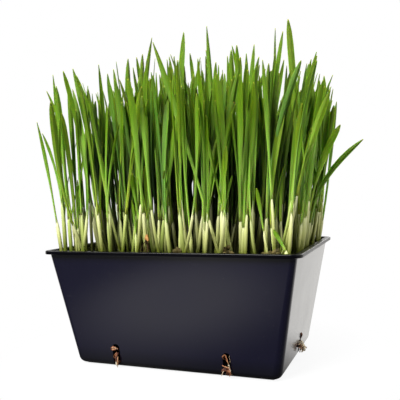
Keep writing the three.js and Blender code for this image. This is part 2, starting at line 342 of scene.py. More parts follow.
plastic = black_plastic()
shell = closed_mesh("seed_tray_plain", tray_rings()[None])
cutter = add_object("slot_cutter", slot_cutter())
SLOT_EDGE = {"width": 0.22 * MM, "segments": 2, "limit_method": "ANGLE",
             "angle_limit": math.radians(50), "harden_normals": False}
tray_mesh = modified(
    shell,
    ("BOOLEAN", {"operation": "DIFFERENCE", "object": cutter, "solver": "EXACT"}),
    ("BEVEL", SLOT_EDGE),
    ("WEIGHTED_NORMAL", {"keep_sharp": False, "weight": 80}),
)
bpy.data.objects.remove(cutter)
add_piece("seed_tray_moulding", tray_mesh, plastic, "seed_tray")

# ---- Growing medium ------------------------------------------
# A block of dark, moist coir and soil pressed into the tray. It shows through
# the drain slots and at the edge of the mat.
MEDIUM_TOP = 70.5 * MM
GAP = 0.3 * MM  # between the medium and the wall
SINES = 14  # that make up an uneven surface
CRUMB_SIZE, CRUMB_DEPTH = 7 * MM, 1 * MM
WET_BELOW, DRY_ABOVE = 20 * MM, 35 * MM
TOP_OUTLINE = 0.84 * TRAY_HEIGHT  # the top has the outline of the wall at this height
WASHED, WASH_REACH, WASH_HEIGHT = 7 * MM, 7.5 * MM, 9 * MM  # the hollow behind a slot


def unit(vectors):
    """Vectors cut or drawn out to a length of one."""
    return vectors / np.linalg.norm(vectors, axis=-1, keepdims=True)


def waves(points, size, seed):
    """An uneven height over points, mostly within -1 to 1: the sum of sines that
    run in random directions, their lengths spread round the given size, over the
    root of twice their count."""
    rng = np.random.default_rng(seed)
    direction = unit(rng.normal(size=(SINES, 3)))
    length = size * rng.uniform(0.5, 1.8, SINES)
    phase = rng.uniform(0, 2 * np.pi, SINES)
    turns = points @ direction.T / length * 2 * np.pi + phase
    return np.sin(turns).sum(axis=-1) / math.sqrt(SINES * 2)


def crumbled(rings, size, depth, seed):
    """Rings with a crumbly surface: every point is moved in by up to depth."""
    dip = 0.5 + 0.5 * np.clip(waves(rings, size, seed), -1, 1)
    return rings + unit(rings.mean(axis=(0, 1)) - rings) * (dip * depth)[..., None]


def soil():
    """Moist coir: dark brown crumbs with tan fibres and black hollows, wettest
    and darkest at the foot."""
    material, tree, _ = new_material("moist_coir", Roughness=0.9)
    crumbs = grain(tree, 450, detail=6, rough=0.7)
    fibre = remap(tree, grain(tree, 700, (1, 0.15, 1), 3), 0.62, 0.72, 0, 0.6)
    colour = ramp(tree, crumbs, [(0.3, (0.006, 0.003, 0.002)), (0.55, (0.03, 0.014, 0.007)),
                                 (0.8, (0.09, 0.045, 0.02))])
    colour = mixed(tree, fibre, colour, (0.26, 0.14, 0.06))
    wet = remap(tree, part(tree, where(tree), "Z"), WET_BELOW, DRY_ABOVE, 0.85, 0)
    colour = mixed(tree, wet, colour, (0.003, 0.002, 0.0015))
    return finished(material, colour, crumbs, 0.9, 0.8 * MM)


medium_rows = [(FOOT_HEIGHT + WALL + GAP, -BASE_ROUND - 1.2 * MM)]
medium_rows += [(z, -WALL - GAP) for z in np.linspace(6, 67.5, 36) * MM]
medium_rows += [(MEDIUM_TOP, -WALL - GAP - inset, TOP_OUTLINE)
                for inset in np.linspace(2.5, 48, 20) * MM]
medium_rings = np.array([wall_ring(*row, arc=6, side=30) for row in medium_rows])
medium_points = crumbled(medium_rings, CRUMB_SIZE, CRUMB_DEPTH, 3)
for (x, y), turn in SLOTS.values():
    away = np.linalg.norm((medium_points - [x, y, WASH_HEIGHT]) * [1, 1, 0.7], axis=-1)
    inwards = np.array([-math.sin(turn), math.cos(turn), 0])
    medium_points += inwards * (WASHED * np.exp(-((away / WASH_REACH) ** 4)))[..., None]
add_piece("coir_block", closed_mesh("coir_block", medium_points[None]), soil(), "growing_medium")

# ---- Grain mat -----------------------------------------------
# The sown wheat, one or two grains deep: split husks grown together by their
# roots, with the empty grains lying every way on top, and in three places pushed
# up in a heap against the front wall.
MAT_TOP = 75.0 * MM
MAT_OUTLINE = 0.9 * TRAY_HEIGHT  # the mat's top has the outline of the wall here
HUMP_SIZE, HUMP_HEIGHT, SUNK = 6 * MM, 0.9 * MM, 0.5 * MM
BED = np.array([170.0, 112.0]) * MM  # that the shoots stand on
FIELD = BED + [-2.6 * MM, 5 * MM]  # that the grains are strewn over
GRAINS, GRAIN_LENGTH, GRAIN_GIRTH = 620, 6.2 * MM, 3.1 * MM
# Each heap's middle along the wall, half its length and its height in mm, and how
# many grains it has; then how far forward all the heaps lie, in mm.
HEAPS = [(73, 11.5, 10, 60), (43, 5, 11.5, 20), (9, 4, 10, 12)]
HEAP_FRONT, HEAP_BACK = -58.7, -54.3
rng = np.random.default_rng(11)


def tubes(centres, radii, around):
    """Points of round tubes: at each station a circle of the given radius,
    square to the path, with the frame taken from one fixed side direction."""
    tangent = unit(np.gradient(centres, axis=1))
    helper = np.where(np.abs(tangent[:, :1, 2:]) > 0.8, [[[1.0, 0.0, 0.0]]], [[[0.0, 0.0, 1.0]]])
    side = unit(np.cross(helper, tangent))
    other = np.cross(tangent, side)
    angle = np.arange(around) / around * 2 * np.pi
    circle = (np.cos(angle)[:, None] * side[:, :, None] + np.sin(angle)[:, None] * other[:, :, None])
    return centres[:, :, None] + radii[:, :, None, None] * circle


def kernels(places, axes, length, girth, around=8, stations=7):
    """Grains of wheat: rings along an axis whose radius follows half an ellipse,
    blunt at one end, with a furrow pressed into one side."""
    t = np.linspace(0.02, 0.98, stations)
    swell = np.sqrt(1 - (2 * t - 1) ** 2) * (0.85 + 0.3 * t)
    centres = places[:, None] + axes[:, None] * ((t - 0.5) * length)[None, :, None]
    radii = np.broadcast_to(swell * girth / 2, centres.shape[:2])
    points = tubes(centres, radii, around)
    spoke = points - centres[:, :, None]
    furrow = np.array([0.55] + [1.0] * (around - 1))
    return centres[:, :, None] + spoke * furrow[:, None]


def straw(name, light, dark, spot):
    """Dry husk: straw colours that drift along each grain, fine ribs, and
    darker damp spots."""
    material, tree, _ = new_material(name, Roughness=0.75, IOR=1.3)
    drift = grain(tree, 260, detail=3)
    colour = mixed(tree, remap(tree, drift, 0.35, 0.65), light, dark)
    damp = remap(tree, grain(tree, 520, detail=4), 0.55, 0.7)
    colour = mixed(tree, damp, colour, spot)
    return finished(material, colour, grain(tree, 2600, (1, 1, 0.4), 3), 0.4, 0.15 * MM)


mat_rows = [(MEDIUM_TOP + GAP, -WALL - GAP - 3 * MM), (MEDIUM_TOP + 1.6 * MM, -WALL - GAP - 0.5 * MM),
            (MAT_TOP - 1.4 * MM, -WALL - GAP - 0.6 * MM)]
mat_rows += [(MAT_TOP, -WALL - GAP - inset, MAT_OUTLINE)
             for inset in np.linspace(2.4, 58, 44) * MM]
mat_points = np.array([wall_ring(*row, arc=6, side=48) for row in mat_rows])
mat_points[3:, :, 2] += HUMP_HEIGHT * waves(mat_points[3:], HUMP_SIZE, 6) - SUNK  # the top
grain_places = np.column_stack([rng.uniform(-0.5, 0.5, (GRAINS, 2)) * FIELD,
                                rng.uniform(-0.6, 1.4, GRAINS) * MM + MAT_TOP])
grain_places[::16, 2] += rng.uniform(2, 6, len(grain_places[::16])) * MM  # loose on top
for middle, half, height, many in HEAPS:
    along = rng.uniform(-1, 1, many)
    rise = rng.uniform(0, 1, many) * (1 - along ** 2) * height
    heap = np.column_stack([middle + along * half, rng.uniform(HEAP_FRONT, HEAP_BACK, many), rise]) * MM
    grain_places = np.concatenate([grain_places, heap + [0, 0, MAT_TOP]])
grain_axes = unit(rng.normal(size=(len(grain_places), 3)) * [1, 1, 0.35])
grain_points = kernels(grain_places, grain_axes, GRAIN_LENGTH, GRAIN_GIRTH)
add_piece("sprouted_grain_mat", closed_mesh("grain_mat_fine", mat_points[None], grain_points),
          straw("grain_husks", (0.14, 0.105, 0.032), (0.055, 0.045, 0.011), (0.012, 0.010, 0.003)),
          "grain_mat")

# ---- Shoots --------------------------------------------------
# Six hundred and twenty wheat shoots in forty-eight clumps. Each stands in its
# pale sheath, out of whose slit the rolled leaf comes, opens, widens and ends in
# a blunt point. About a third have a younger second leaf.
COLUMNS, ROWS = 8, 6
EACH = 14  # shoots sown in a clump
ROOT_LEVEL = 73.5 * MM
SHORTEST, TALLEST = 60, 152  # mm, of the sown shoots
YOUNG_SHARE, SECOND_SHARE = 0.22, 0.32  # of shoots that are young, that have two leaves
TIP_LIMIT, OUTWARD = np.array([85, 60]) * MM, 0.11
OUTLINE_WIDTH = 0.82  # of the width in the table, for the outline shoots' blades
cell = BED / [COLUMNS, ROWS]
rng = np.random.default_rng(2207)

# The tall and the wayward shoots that give the sward its outline. Foot x and y,
# tip x, y and z in mm, share of the sideways way gone in the last part, blade
# width in mm, bluntness of the point.
OUTLINE = np.array([
    (-85, -53, -104, -54, 178, 0.2, 3.4, 0), (-83, -53, -98, -56, 169, 0.8, 3.6, 0.1),
    (-82, -52, -91, -55, 186, 0.3, 5, 0.6), (-84, -50, -90, -52, 212, 0.3, 3.8, 0),
    (-78, -52, -86, -54, 203, 0.4, 5.4, 0.5), (-74, -48, -80, -48, 204, 0.4, 4.6, 0.2),
    (-55, -42, -78, -44, 217, 0.4, 6, 0.2), (-68, -40, -68, -40, 204, 0.3, 3.6, 0.1),
    (-58, -40, -57, -40, 204, 0.3, 4.2, 0.2), (-38, -40, -46, -40, 214, 0.5, 6, 0.3),
    (-44, -30, -39, -30, 223, 0.3, 5.6, 0.6), (-31, -30, -27, -30, 225, 0.3, 5.2, 0.8),
    (-43, -30, -19, -30, 236, 0.2, 5.4, 0.1), (37, -50, -8, -52, 226, 0.1, 5.2, 0.2),
    (-12, -20, 2, -20, 240, 0.3, 6, 0.7), (24, -20, 20, -20, 242, 0.5, 4.4, 0.3),
    (36, -20, 38, -20, 223, 0.3, 5.4, 0.8), (48, -20, 49, -20, 219, 0.3, 4.8, 0.4),
    (52, -53, 67, -55, 207, 0.5, 6.8, 0.3), (74, -53, 69, -54, 205, 0.5, 4, 0.2),
    (67, -20, 70, -20, 234, 0.3, 5, 0), (83, -20, 79, -20, 239, 0.6, 5.6, 0.9),
    (75, -20, 94, -20, 210, 0.3, 4.6, 0.7), (74, -22, 98, -22, 214, 0.3, 4.4, 0.3),
    (82, -20, 108, -20, 198, 0.6, 3.6, 0.1), (78, -50, 110, -50, 183, 0.2, 5.2, 0.4),
    (84, 20, 99, 20, 177, 0.3, 4.6, 0.4), (84, -10, 111, -10, 166, 0.6, 5.6, 0.9),
    (84, 0, 125, 0, 156, 0.9, 4.8, 0.5), (-36, -54, -16, -55, 196, 0.2, 6.2, 0.8),
    (-6, -54, 12, -55, 178, 0.4, 6.2, 0.5), (44, -54, 37, -55, 182, 0.2, 3.6, 0.3),
    (46, -53, 25, -54, 178, 0.1, 3.4, 0.1), (84, -55.5, 74, -57.5, 98, 0.2, 4.9, 0.5),
    (70, -53, 63, -55, 124, 0.3, 3.2, 0.6), (-24, -53, -26, -55, 118, 0.2, 2.8, 0.2),
])


def sow():
    """Places of the shoots: in every clump EACH of the sixteen squares of a four
    by four board, each place off its middle. The outline shoots take the places
    of the first ones sown in their own clumps."""
    number = np.repeat(np.arange(COLUMNS * ROWS), EACH)
    squares = np.concatenate([rng.permutation(16)[:EACH] for _ in range(COLUMNS * ROWS)])
    inside = np.stack([squares % 4, squares // 4], axis=1) + rng.uniform(0.12, 0.88, (len(number), 2))
    middle = np.stack([number // ROWS, number % ROWS], axis=1) - np.array([COLUMNS, ROWS]) / 2
    return (middle + inside / 4) * cell, number


places, clump = sow()
# The share of gaps goes up to 0.28 towards the left end and is 0.2 at the right
# end, but every clump keeps its first four shoots, and the front left one seven.
gaps = np.clip((-places[:, 0] - 30 * MM) / (30 * MM), 0, 0.28) + 0.2 * (places[:, 0] > 70 * MM)
grown = rng.uniform(size=len(places)) > gaps
grown |= np.arange(len(places)) % EACH < np.where(clump == 0, 7, 4)
places, clump = places[grown], clump[grown]
total = len(places)
share = places / (BED / 2)

# Lean is the tip's sideways distance over the height, kick a sideways step in
# metres most of which is made low down, sway a bow in the middle, droop the
# further lean that grows with the cube of the height. Facing and twist turn the
# flat of the blade. Depth is how far in from the edge of the bed the shoot is.
# Sheath is the sheath's length; it, girth and width are in mm.
shoots = SimpleNamespace(
    place=places,
    lean=share * [0.085, 0.055] + [0.035, 0] + np.clip(rng.normal(0, 0.03, (total, 2)), -0.06, 0.06),
    kick=np.clip(rng.normal(0, 7.5, (total, 2)), -13, 13) * MM,
    sway=rng.normal(0, 2.6 * MM, (total, 2)),
    droop=share ** 3 * [0.05, 0.02] + rng.normal(0, 0.04, (total, 2)),
    depth=np.min(BED / 2 - np.abs(places), axis=1),
    height=rng.normal(136, 9.5, total) - 20 * np.max(share ** 2, axis=1),
    sheath=rng.uniform(26, 50, total),
    girth=rng.uniform(1.75, 2.95, total),
    facing=rng.normal(0.3, 0.9, total) + np.pi * rng.integers(0, 2, total),
    twist=rng.normal(0, 0.8, total),
    width=rng.uniform(2.8, 4.7, total),
    blunt=rng.uniform(0.2, 1, total),
    tint=rng.uniform(0, 1, (total, 3)),
)
young = rng.uniform(size=total) < YOUNG_SHARE  # these are shorter and narrower
shoots.height = np.where(young, shoots.height * rng.uniform(0.5, 0.85, total), shoots.height)
shoots.width = np.where(young, shoots.width * 0.85, shoots.width)
shoots.height = np.clip(shoots.height, SHORTEST, TALLEST) * MM
# No sown tip is further from the middle than TIP_LIMIT and OUTWARD times its height
reach = places + (shoots.lean + shoots.droop) * shoots.height[:, None] + shoots.kick
limit = TIP_LIMIT + OUTWARD * shoots.height[:, None]
shoots.lean -= (reach - np.clip(reach, -limit, limit)) / shoots.height[:, None]

# The outline shoots take over from sown ones of the clumps their feet stand in
foot, tip = OUTLINE[:, :2] * MM, OUTLINE[:, 2:5] * MM
home = np.floor((foot + BED / 2) / cell).astype(int) @ [ROWS, 1]
taken = []
for number in home:
    free = [k for k in np.flatnonzero(clump == number) if k not in taken]
    taken.append(free[0])
way = (tip[:, :2] - foot) / (tip[:, 2:] - ROOT_LEVEL)
late = OUTLINE[:, 5:6]
shoots.place[taken] = foot
shoots.depth[taken] = np.min(BED / 2 - np.abs(foot), axis=1)
shoots.lean[taken] = way * (1 - late)
shoots.droop[taken] = way * late
shoots.kick[taken] = 0
shoots.sway[taken] *= 0.3
shoots.height[taken] = tip[:, 2] - ROOT_LEVEL
shoots.width[taken] = OUTLINE[:, 6] * OUTLINE_WIDTH
shoots.blunt[taken] = OUTLINE[:, 7]
shoots.twist[taken] *= 0.5
shoots.tint[taken, 0] *= 0.7
shoots.facing[taken] = rng.normal(0.35, 0.4, len(taken)) - shoots.twist[taken] * 0.75


def spine(shoot, t):
    """Centre lines at t from 0 at the root to 1 at the tip: across, lean times t,
    plus droop times t cubed, plus kick times 1.35 t / (t + 0.35), plus sway times
    the sine of half a turn of t; up, the height times t."""
    t = t[..., None]
    height = shoot.height[:, None, None]
    across = (shoot.lean[:, None] * t + shoot.droop[:, None] * t ** 3) * height
    across = across + shoot.kick[:, None] * 1.35 * t / (np.maximum(t, 0) + 0.35)
    across = across + shoot.sway[:, None] * np.sin(np.pi * np.maximum(t, 0))
    return np.concatenate([shoot.place[:, None] + across, ROOT_LEVEL + height * t], axis=-1)


def frames(centres, facing):
    """Unit vectors along the path, across the flat and out of the flat."""
    along = unit(np.gradient(centres, axis=1))
    flat = np.stack([np.cos(facing), np.sin(facing), np.zeros_like(facing)], axis=-1)
    flat = unit(flat - (flat * along).sum(axis=-1, keepdims=True) * along)
    return along, flat, np.cross(along, flat)


def smooth(x):
    """A soft step from 0 at 0 to 1 at 1."""
    x = np.clip(x, 0, 1)
    return x * x * (3 - 2 * x)


LEAF_STATIONS = np.array([0, 0.07, 0.17, 0.29, 0.42, 0.55, 0.67, 0.78, 0.87, 0.94, 0.985, 1])
LEAF_SIDES = np.array([-1, -0.5, 0, 0.5, 1, 0.5, 0, -0.5])  # across the upper face and back
LEAF_FACE = np.array([0, 1, 1, 1, 0, -1, -1, -1])  # margin, upper face, lower face
ROLLED = 2.2  # half angle of the rolled blade, in radians
HALF_THICK, LEAST_HALF_WIDTH = 0.16 * MM, 0.3 * MM


def leaves(shoot, start, reach, spread, younger):
    """Leaf blades as thin closed bodies. The blade is a strip rolled about its
    midrib: its section is an arc of half angle A, which opens from a near tube
    at the sheath to a shallow trough with a keel at the midrib. Its seen width
    grows from under half to the full width, and over the last part falls to a
    point as (1 - s^p)^0.65."""
    s = LEAF_STATIONS[None]
    t = start[:, None] + (reach - start)[:, None] * s
    centres = spine(shoot, t)
    bow = (reach * shoot.height)[:, None] * s ** 1.6
    centres[..., :2] += spread[:, None] * bow[..., None]
    facing = (shoot.facing + younger * 1.9)[:, None] + shoot.twist[:, None] * s
    _, flat, out = frames(centres, facing)
    blunt, late = shoot.blunt[:, None], shoot.tint[:, 1:2]
    shoulder = 0.70 + 0.15 * blunt
    past = np.clip((s - shoulder) / (1 - shoulder), 0, 1)
    taper = (1 - past ** (1.5 + 1.2 * blunt)) ** 0.65
    half = shoot.width[:, None] * MM * (0.5 - 0.14 * younger)
    half = half * (0.42 + 0.58 * smooth((s - 0.22) / (0.42 + 0.2 * late)))
    half = np.maximum(half * taper, LEAST_HALF_WIDTH)
    trough = 0.3 + 0.4 * shoot.tint[:, :1] ** 2
    half_angle = ROLLED + (trough - ROLLED) * smooth((s - 0.10) / (0.46 + 0.26 * late))
    radius = half / np.sin(np.minimum(half_angle, np.pi / 2))
    turn = LEAF_SIDES * half_angle[..., None]
    sideways = radius[..., None] * np.sin(turn)
    outward = radius[..., None] * ((1 - np.cos(turn)) - (1 - np.cos(half_angle))[..., None] / 2)
    keel = half * (0.08 + 0.2 * shoot.tint[:, 2:3]) * smooth((s - 0.2) / 0.4)
    outward = outward + keel[..., None] * (np.abs(LEAF_SIDES) - 0.5)
    thick = HALF_THICK * LEAF_FACE
    sideways = sideways - thick * np.sin(turn)
    outward = outward + thick * np.cos(turn)
    return (centres[:, :, None] + sideways[..., None] * flat[:, :, None]
            + outward[..., None] * out[:, :, None])


SHEATH_STATIONS = np.array([-0.02, 0.12, 0.35, 0.6, 0.82, 0.93, 1.0])
SHEATH_SIDES = 6
MOUTH_SLANT = 2.4 * MM


def sheaths(shoot, end):
    """Sheaths: tubes round the lower centre line, fullest a third of the way up,
    with a slanting mouth that closes on one side of the leaf."""
    s = SHEATH_STATIONS[None]
    centres = spine(shoot, end[:, None] * s)
    along, flat, out = frames(centres, np.broadcast_to(shoot.facing[:, None], centres.shape[:2]))
    radius = shoot.girth[:, None] * MM / 2 * (0.92 + 0.16 * np.sin(np.pi * np.clip(s, 0, 1) ** 0.7))
    radius = radius * (1 - 0.7 * smooth((s - 0.75) / 0.25) ** 1.4)
    angle = np.arange(SHEATH_SIDES) / SHEATH_SIDES * 2 * np.pi
    ring = (np.cos(angle)[:, None] * flat[:, :, None] + 0.86 * np.sin(angle)[:, None] * out[:, :, None])
    mouth = smooth((s - 0.8) / 0.2)[..., None] * (np.cos(angle) * MOUTH_SLANT)
    return (centres[:, :, None] + radius[..., None, None] * ring
            + mouth[..., None] * along[:, :, None])


def stripes(tree, across, count):
    """The cosine of count whole turns as across goes from 0 to 1."""
    return reckon(tree, "COSINE", reckon(tree, "MULTIPLY", across, 2 * math.pi * count))


def tinted(tree, colour, tint):
    """A colour multiplied by another."""
    return mixed(tree, 1.0, colour, tint, "MULTIPLY")


def plant_marks(tree):
    """How far a point is across and along its leaf or sheath, its plant's own
    three tints, and how much of its full colour it keeps under the painted shade."""
    uv = node(tree, "UVMap", uv_map="length_and_width").outputs["UV"]
    own = node(tree, "Attribute", attribute_name="tint_and_painted_shade").outputs
    casts = node(tree, "SeparateColor", {"Color": own["Color"]}).outputs
    return part(tree, uv, "X"), part(tree, uv, "Y"), casts, own["Alpha"]


def leaf_green():
    """A young wheat blade: yellow-green where it leaves the sheath, full green
    above, olive and at last straw-yellow at the point, ribbed along its length,
    each plant with its own cast from olive to blue-green. Deep in the sward and
    low down its colour is painted darker as shade, to near black."""
    material, tree, _ = new_material("leaf_green", Roughness=0.52, IOR=1.28, Subsurface_Weight=0.6,
                                     Subsurface_Radius=(0.5, 1.0, 0.2), Subsurface_Scale=0.7 * MM)
    across, along, casts, painted_light_share = plant_marks(tree)
    colour = ramp(tree, along, [(0.0, (0.42, 0.56, 0.12)), (0.1, (0.35, 0.54, 0.09)),
                                (0.3, (0.23, 0.42, 0.05)), (0.62, (0.118, 0.235, 0.005)),
                                (0.92, (0.10, 0.170, 0.002)), (0.97, (0.22, 0.28, 0.006)),
                                (1.0, (0.38, 0.40, 0.02))])
    bluish = ramp(tree, along, [(0.0, (0.32, 0.47, 0.13)), (0.2, (0.17, 0.36, 0.075)),
                                (0.6, (0.095, 0.22, 0.02)), (0.96, (0.10, 0.18, 0.006)),
                                (1.0, (0.26, 0.30, 0.02))])
    colour = mixed(tree, remap(tree, casts["Red"], 0.7, 1.0), colour, bluish)
    olive = tinted(tree, colour, (1.08, 0.88, 0.42))
    colour = mixed(tree, remap(tree, casts["Blue"], 0.6, 1.0, 0, 0.8), colour, olive)
    blotch = grain(tree, 120, (1, 1, 0.25), 3)
    duller = tinted(tree, colour, (0.72, 0.74, 0.6))
    colour = mixed(tree, remap(tree, blotch, 0.35, 0.7, 0, 0.4), colour, duller)
    ribs = stripes(tree, across, 9)
    paler = tinted(tree, colour, (1.45, 1.35, 1.3))
    colour = mixed(tree, remap(tree, ribs, 0.2, 1.0, 0, 0.22), colour, paler)
    # painted shade: deep in the sward and low down the blade is darkened to near black
    colour = mixed(tree, painted_light_share, (0.004, 0.013, 0.001), colour)
    return finished(material, colour, ribs, 0.25, 0.12 * MM)


def sheath_cream():
    """The sheath: dark olive over its lower part, then cream with fine green
    veins, paler still at its mouth; some plants' are greener. Deep in the sward
    and low down its colour is painted darker as shade, to near black."""
    material, tree, _ = new_material("sheath_cream", Roughness=0.42, IOR=1.36)
    around, along, casts, painted_light_share = plant_marks(tree)
    colour = ramp(tree, along, [(0.0, (0.07, 0.08, 0.01)), (0.27, (0.15, 0.17, 0.022)),
                                (0.5, (0.60, 0.62, 0.24)), (0.75, (0.86, 0.86, 0.50)),
                                (0.92, (0.72, 0.77, 0.37)), (1.0, (0.86, 0.88, 0.64))])
    greener = tinted(tree, colour, (0.62, 0.76, 0.40))
    colour = mixed(tree, remap(tree, casts["Green"], 0.5, 1.0, 0, 0.9), colour, greener)
    veins = stripes(tree, around, 11)
    veined = tinted(tree, colour, (0.72, 0.82, 0.5))
    colour = mixed(tree, remap(tree, veins, 0.0, 1.0, 0, 0.35), colour, veined)
    # painted shade: deep in the sward and low down the sheath is darkened to near black
    colour = mixed(tree, painted_light_share, (0.02, 0.022, 0.006), colour)
    return finished(material, colour, veins, 0.3, 0.1 * MM)


leaf_material, sheath_material = leaf_green(), sheath_cream()
second = rng.uniform(size=total) < SECOND_SHARE
leaf_spread = rng.normal(0, 0.02, (total, 2))
leaf_spread[taken] = 0
second_spread = np.clip(rng.normal(0, 0.06, (total, 2)), -0.1, 0.1) - 0.04 * share
second_reach = rng.uniform(0.62, 0.92, total)


def tube_uv(count, stations, around, across):
    """Corner coordinates for the walls and for the end faces of tube_faces: across
    gives u at the around + 1 seams round the ring, v runs from 0 to 1 along the
    tube, and an end face has one place."""
    v = np.linspace(0, 1, stations)
    u = np.stack([across[:-1], across[1:], across[1:], across[:-1]], axis=-1)
    v = np.stack([v[:-1], v[:-1], v[1:], v[1:]], axis=-1)[:, None]
    walls = np.stack(np.broadcast_arrays(u, v), axis=-1).reshape(-1, 2)
    caps = np.repeat([[0.5, 0.0], [0.5, 1.0]], count * around, axis=0)
    return np.tile(walls, (count, 1)), caps


def set_tint(mesh, tints):
    """Gives each point of a mesh its own red, green, blue and alpha."""
    attribute = mesh.attributes.new("tint_and_painted_shade", "FLOAT_COLOR", "POINT")
    attribute.data.foreach_set("color", tints.astype(np.float32).ravel())


def mark_margins(mesh, margins):
    """Marks as sharp the edges along the margins and the midrib."""
    ends = np.zeros(len(mesh.edges) * 2, np.int32)
    mesh.edges.foreach_get("vertices", ends)
    sides = margins[ends].reshape(-1, 2)
    sharp = (sides[:, 0] > 0) & (sides[:, 0] == sides[:, 1])
    mesh.attributes.new("sharp_edge", "BOOLEAN", "EDGE").data.foreach_set("value", sharp)


def chosen(which):
    """What is known of the chosen shoots, and how far up each its sheath ends."""
    shoot = SimpleNamespace(**{key: value[which] for key, value in vars(shoots).items()})
    return shoot, np.minimum(shoot.sheath * MM / shoot.height, 0.5)


# How far across each point of a ring is, from 0 to 1, and the number of the edge,
# a margin or a face's midrib, that it belongs to
SHEATH_ROUND, SHEATH_MARGINS = np.linspace(0, 1, SHEATH_SIDES + 1), np.zeros(SHEATH_SIDES, int)
LEAF_STRIP = np.array([0, 1, 2, 3, 4, 3, 2, 1, 0]) / 4
LEAF_MARGINS = np.array([1, 0, 3, 0, 2, 0, 4, 0])
# Painted shade: points get darker over so much depth from EDGE_LIT on, and down from TOP_LIT
EDGE_LIT, DEPTH_RANGE, TOP_LIT, HEIGHT_RANGE, DARKEST_PAINTED_SHADE = 6 * MM, 14 * MM, 212 * MM, 80 * MM, 0.95


def shoots_mesh(name, which):
    """The sheaths and leaves of the chosen shoots in one mesh, and the material
    number of each face. Each point carries its plant's own tint, and how much of
    its full colour it keeps under painted shade: deep in the sward and low down
    the painted shade makes it nearly black."""
    two = which[second[which]]
    (shoot, end), (older, two_end) = chosen(which), chosen(two)
    first_leaves = leaves(shoot, end - 0.04, np.ones(len(which)), leaf_spread[which], 0.0)
    second_leaves = leaves(older, two_end - 0.03, second_reach[two], second_spread[two], 1.0)
    forms = [(sheaths(shoot, end), shoot, SHEATH_ROUND, SHEATH_MARGINS, 1),
             (first_leaves, shoot, LEAF_STRIP, LEAF_MARGINS, 0),
             (second_leaves, older, LEAF_STRIP, LEAF_MARGINS, 0)]
    rows, first = [], 0
    for form, plant, across, sides, material in forms:
        plants, stations, around = form.shape[:3]
        shade = smooth((plant.depth - EDGE_LIT) / DEPTH_RANGE)[:, None, None]
        shade = shade * smooth((TOP_LIT - form[..., 2]) / HEIGHT_RANGE)
        tint = np.repeat(plant.tint, stations * around, axis=0)
        quads, caps = tube_faces(plants, stations, around, first)
        rows.append((form.reshape(-1, 3), np.tile(sides, plants * stations),
                     np.column_stack([tint, (1 - DARKEST_PAINTED_SHADE * shade).ravel()]), quads, caps,
                     *tube_uv(plants, stations, around, across),
                     np.full(len(quads), material), np.full(len(caps), material)))
        first += plants * stations * around
    points, margins, tints, walls, ends, wall_uv, end_uv, wall_slots, end_slots = zip(*rows)
    mesh = fill_mesh(name, np.concatenate(points), walls + ends, np.concatenate(wall_uv + end_uv))
    mark_margins(mesh, np.concatenate(margins))
    set_tint(mesh, np.concatenate(tints))
    return mesh, np.concatenate(wall_slots + end_slots).astype(np.int32)


for number in range(COLUMNS * ROWS):
    name = f"shoots_{number // ROWS + 1}_{number % ROWS + 1}"
    mesh, index = shoots_mesh(name + "_fine", np.flatnonzero(clump == number))
    add_piece("wheat_" + name, mesh, leaf_material, name)
    mesh.materials.append(sheath_material)
    mesh.polygons.foreach_set("material_index", index)

# ---- Roots at the drain slots --------------------------------
# Fine roots that grew out of each slot and dried: a curl in the mouth, a bundle
# that hangs to the edge of the base, and loose ends.
ROOT_STATIONS, ROOT_SIDES = 20, 6
CURL = 0.16  # mm, radius of the helix in every strand
# In mm: strands off this far to the side of a slot's middle, or under its sill,
# stay clear of the wall's face, which leans out by WALL_LEAN for each mm of height;
# the others may go in through the slot.
SLOT_SIDE, SILL, WALL_CLEAR, WALL_LEAN, SLOT_DEEP = 2.2, 2.8, 0.7, 0.19, -5
ROOT_LOWEST = 0.5  # mm above the table

# Each row is one group of strands: the points it runs through as along the wall,
# out from it at the base, and up, in mm; radius and spread in mm, how many, and
# tone from 0 for red-brown to 1 for cream.
HANGING = [
    ([(1.6, 2.2, 13.9), (0.2, 3.4, 13.9), (-1.6, 3.8, 13.3), (-2.3, 4, 14.4),
      (-1.4, 4, 15.7), (-0.1, 3.8, 15.3), (0.9, 3.2, 14.6)], 0.50, 0.22, 4, 0.24),
    ([(-2, 4, 14.7), (-1, 4.3, 15), (0.1, 4.1, 14.7)], 0.40, 0.12, 2, 0.44),
    # This short pale strand is a painted highlight: it stands for a glint on the curl
    ([(0.5, 3.9, 14.7), (1.3, 3.7, 14.1), (1.9, 3, 14.2)], 0.16, 0.05, 1, 0.85),
    ([(0.7, 0.6, 10.2), (0.8, 2.6, 10.8), (0.7, 3.1, 8), (0.9, 2.7, 5), (1.2, 2, 2.6)],
     0.36, 0.62, 14, 0.32),
    ([(0.8, 2.6, 9.6), (0.8, 3.9, 7.6), (1, 3.8, 4.8)], 0.40, 0.28, 3, 0.08),
    ([(1.6, 2.8, 8.4), (1.9, 3.5, 5.4), (1.4, 2.6, 2.4)], 0.36, 0.30, 4, 0.56),
    ([(0.6, 2.8, 5), (0.8, 2.8, 3.4), (1.2, 2.2, 1.2)], 0.42, 0.30, 4, 0.85),
]
